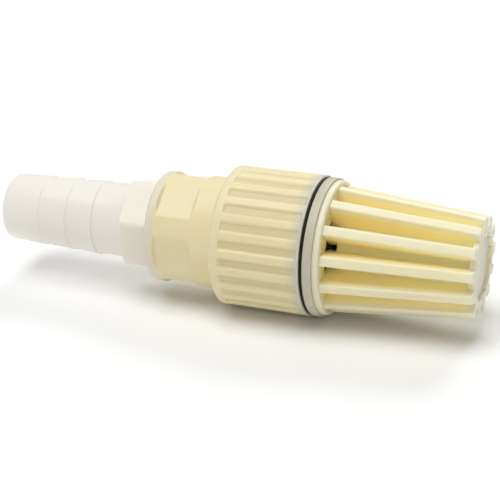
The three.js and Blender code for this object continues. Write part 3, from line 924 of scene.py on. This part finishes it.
def nipple_shades(nodes, colour):
    """The thick hexagon is creamier than the hose tail."""
    return nodes.mix(nodes.between(nodes.height(), HEX_TOP_H + 1, HEX_TOP_H - 1), colour, HEX_CREAM)


def body_plastic():
    return plastic("body_plastic", CREAM, PALE, body_shades, translucency=0.5, reach=2.5, roughness=0.42)


def cage_plastic():
    return plastic(
        "cage_plastic", CAGE_CREAM, PALE_END, cage_shades, translucency=0.6, reach=3.0, roughness=0.4,
    )


def seat_plastic():
    return plastic("seat_plastic", SEAT_CREAM_AND_SHADE, PALE, None, translucency=0.5, reach=2.5, roughness=0.4)


def nipple_plastic():
    return plastic(
        "nipple_plastic", CLEAR, CLEAR_CLOUD, nipple_shades,
        translucency=0.6, reach=5.0, roughness=0.33, spread=CLEAR_SPREAD,
    )


def white_plastic():
    return plastic("white_plastic", WHITE, WHITE_CLOUD, None, translucency=0.3, reach=1.5, roughness=0.38)


def black_rubber():
    nodes = Nodes("black_rubber")
    dusty = nodes.between(nodes.noise(300, 4), 0.45, 0.75)
    nodes.set(Base_Color=nodes.mix(dusty, RUBBER, RUBBER_DUST))
    rough = nodes.add("MapRange", {0: nodes.noise(700), 3: 0.55, 4: 0.72})
    nodes.set(Roughness=rough.outputs[0], IOR=1.52, Specular_IOR_Level=0.2)
    nodes.bump(coarse=900, fine=5000, coarse_mm=0.015, fine_mm=0.006)
    return nodes.material


def spring_steel():
    nodes = Nodes("spring_steel")
    drawn = nodes.noise(1600, 4)
    nodes.set(Base_Color=nodes.mix(drawn, STEEL_DARK, STEEL_BRIGHT))
    rough = nodes.add("MapRange", {0: drawn, 3: 0.2, 4: 0.36})
    nodes.set(Roughness=rough.outputs[0], Metallic=1.0)
    nodes.bump(coarse=600, fine=6000, coarse_mm=0.006, fine_mm=0.003)
    return nodes.material


# ---------------------------------------------------------------- the pieces on their bodies
def dress():
    """Makes every piece, with its material, its body and the CAD node that it stands for."""
    cream, cage, seat, clear = body_plastic(), cage_plastic(), seat_plastic(), nipple_plastic()
    white, rubber, steel = white_plastic(), black_rubber(), spring_steel()
    pieces = [
        (hose_nipple, "hose_nipple", "nipple", clear, "clear_plastic"),
        (nipple_packing, "nipple_packing", "packing", rubber, "black_rubber"),
        (valve_body, "valve_body", "body", cream, "cream_plastic"),
        (guide_spider, "guide_spider", "body", white, "white_plastic"),
        (stem_clip, "stem_clip", "valve", steel, "spring_steel"),
        (return_spring, "return_spring", "body", steel, "spring_steel"),
        (valve_poppet, "valve_poppet", "valve", white, "white_plastic"),
        (rubber_seal, "rubber_seal", "valve", rubber, "black_rubber"),
        (seal_retainer, "seal_retainer", "valve", rubber, "black_rubber"),
        (flange_o_ring, "flange_o_ring", "o_ring", rubber, "black_rubber"),
        (seat_ring, "seat_ring", "strainer", seat, "cream_plastic"),
        (strainer_cage, "strainer_cage", "strainer", cage, "cream_plastic"),
    ]
    made = {}
    for make, node, body, material, slot in pieces:
        piece = make()
        piece.data.materials.clear()
        piece.data.materials.append(material)
        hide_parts(node)
        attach(piece, body)
        made[node] = piece
    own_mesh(made["return_spring"])


# ---------------------------------------------------------------- studio
# Metres and watts
FLOOR_HALF = 4
SKY_COLOUR = (1, 0.98, 0.94, 1)
SKY_STRENGTH = 0.27
COOL_WHITE = (0.98, 0.99, 1)
WARM_WHITE = (1, 0.99, 0.97)


def floor():
    corners = [(x * FLOOR_HALF, y * FLOOR_HALF, 0) for x, y in ((-1, -1), (1, -1), (1, 1), (-1, 1))]
    mesh = bpy.data.meshes.new("studio_floor")
    mesh.from_pydata(corners, [], [(0, 1, 2, 3)])
    piece = bpy.data.objects.new("studio_floor", mesh)
    bpy.context.scene.collection.objects.link(piece)
    nodes = Nodes("studio_paper")
    nodes.set(Base_Color=nodes.mix(nodes.noise(3), PAPER, PAPER_BRIGHT), Roughness=0.9)
    piece.data.materials.append(nodes.material)


def area_light(name, position, target, size, power, colour):
    light = bpy.data.lights.new(name, "AREA")
    light.shape = "DISK"
    light.size = size
    light.energy = power
    light.color = colour
    lamp = bpy.data.objects.new(name, light)
    lamp.location = position
    lamp.rotation_euler = (Vector(target) - Vector(position)).to_track_quat("-Z", "Y").to_euler()
    bpy.context.scene.collection.objects.link(lamp)


def studio():
    floor()
    world = bpy.data.worlds.new("studio")
    world.use_nodes = True
    world.node_tree.nodes["Background"].inputs["Color"].default_value = SKY_COLOUR
    world.node_tree.nodes["Background"].inputs["Strength"].default_value = SKY_STRENGTH
    bpy.context.scene.world = world
    area_light("softbox_top", (-0.15, -0.25, 1.1), (0, 0, 0), size=0.9, power=9.2, colour=COOL_WHITE)
    area_light("softbox_back", (0.1, 1.5, 1.2), (0, 1.4, 0), size=1.2, power=20, colour=COOL_WHITE)
    area_light("softbox_front", (0.25, -0.9, 0.42), (0, 0, 0.02), size=0.6, power=1.1, colour=WARM_WHITE)
    bpy.context.scene.view_settings.view_transform = "Standard"


# ---------------------------------------------------------------- camera
CAMERA_FROM_JOINT = Vector((160.5, -488.2, 227.2)) * MM
CAMERA_RIGHT = Vector((0.9356, 0.3526, -0.0182)).normalized()
CAMERA_BACK = Vector((0.3292, -0.8525, 0.4063)).normalized()
CAMERA_LENS = 111.6
SENSOR_WIDTH = 36


def camera():
    """The photograph's viewing angle."""
    data = bpy.data.cameras.new("camera")
    data.lens = CAMERA_LENS
    data.sensor_width = SENSOR_WIDTH
    viewer = bpy.data.objects.new("camera", data)
    up = CAMERA_BACK.cross(CAMERA_RIGHT).normalized()
    right = up.cross(CAMERA_BACK)
    turn = Matrix((right, up, CAMERA_BACK)).transposed().to_4x4()
    joint = Vector((JOINT_X, 0, AXIS_Z))
    viewer.matrix_world = Matrix.Translation(joint + CAMERA_FROM_JOINT) @ turn
    bpy.context.scene.collection.objects.link(viewer)
    bpy.context.scene.camera = viewer


camera()
studio()
dress()
